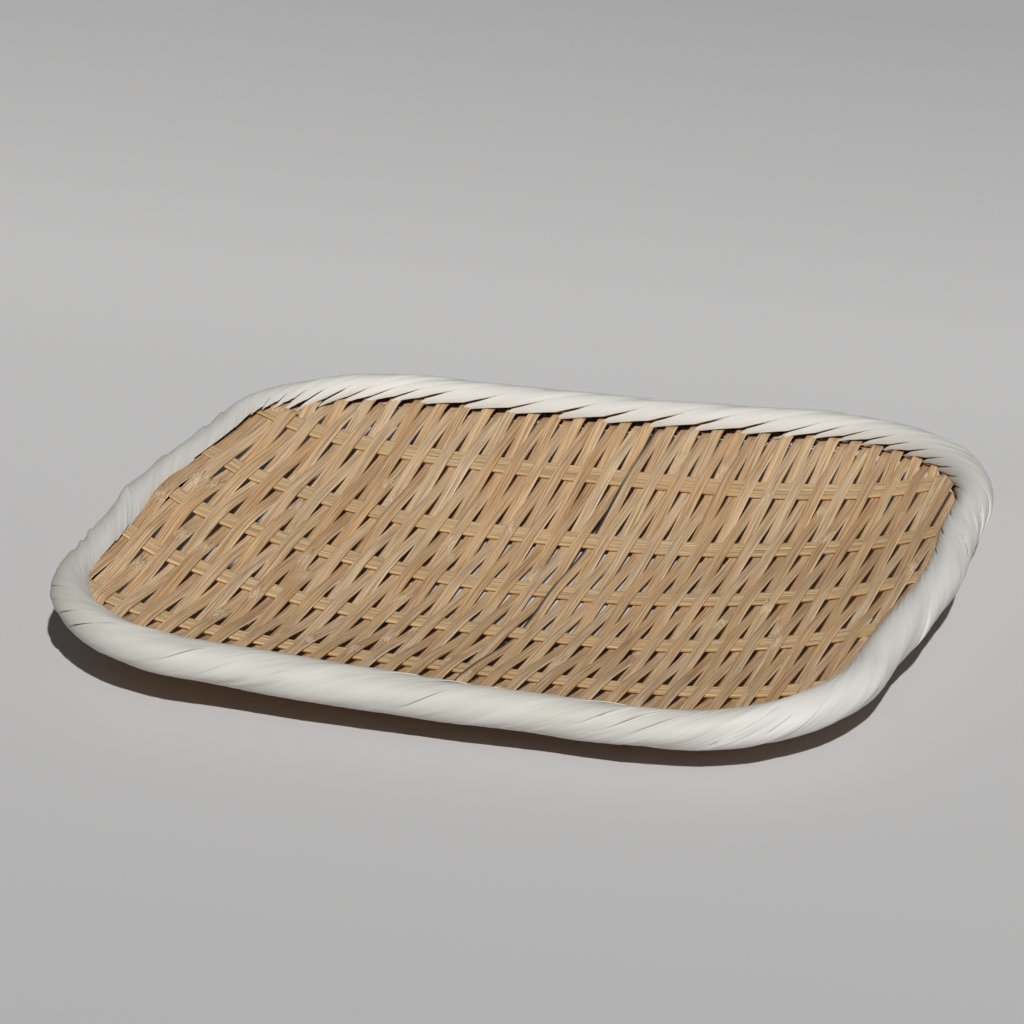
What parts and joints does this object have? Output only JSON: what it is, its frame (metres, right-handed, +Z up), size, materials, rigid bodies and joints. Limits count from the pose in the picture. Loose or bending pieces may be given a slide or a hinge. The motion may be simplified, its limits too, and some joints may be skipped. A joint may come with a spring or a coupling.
{
  "type": "zaru bamboo tray basket",
  "caption": "Shallow, nearly square woven bamboo tray: front-to-back strips over and under double ribs, in a rim of two hoops bound with an overlapping white plastic band.",
  "frame": {"origin": "middle of the tray's plan, on the surface that it rests on", "axes": "+X along the ribs towards the right end, +Y along the weavers towards the back edge, +Z up"},
  "size_m": [0.333, 0.32, 0.0343],
  "materials": {
    "pale_bamboo": "bare split bamboo, satin, fine grain along the strip",
    "rib_bamboo": "bare split bamboo, satin, rounded edges",
    "hoop_bamboo": "darker bare bamboo, mostly hidden by the band",
    "band_white": "warm white plastic band, satin, creased and pleated"
  },
  "bodies": {
    "root": {"weaver_01": "pale_bamboo", "weaver_02": "pale_bamboo", "weaver_03": "pale_bamboo", "weaver_04": "pale_bamboo", "weaver_05": "pale_bamboo", "weaver_06": "pale_bamboo", "weaver_07": "pale_bamboo", "weaver_08": "pale_bamboo", "weaver_09": "pale_bamboo", "weaver_10": "pale_bamboo", "weaver_11": "pale_bamboo", "weaver_12": "pale_bamboo", "weaver_13": "pale_bamboo", "weaver_14": "pale_bamboo", "weaver_15": "pale_bamboo", "weaver_16": "pale_bamboo", "weaver_17": "pale_bamboo", "weaver_18": "pale_bamboo", "weaver_19": "pale_bamboo", "weaver_20": "pale_bamboo", "weaver_21": "pale_bamboo", "weaver_22": "pale_bamboo", "weaver_23": "pale_bamboo", "weaver_24": "pale_bamboo", "weaver_25": "pale_bamboo", "weaver_26": "pale_bamboo", "weaver_27": "pale_bamboo", "weaver_28": "pale_bamboo", "weaver_29": "pale_bamboo", "weaver_30": "pale_bamboo", "weaver_31": "pale_bamboo", "rib_1_far": "rib_bamboo", "rib_1_near": "rib_bamboo", "rib_2_far": "rib_bamboo", "rib_2_near": "rib_bamboo", "rib_3_far": "rib_bamboo", "rib_3_near": "rib_bamboo", "rib_4_far": "rib_bamboo", "rib_4_near": "rib_bamboo", "rib_5_far": "rib_bamboo", "rib_5_near": "rib_bamboo", "upper_hoop": "hoop_bamboo", "lower_hoop": "hoop_bamboo", "rim_wrap": "band_white"}
  },
  "joints": []
}
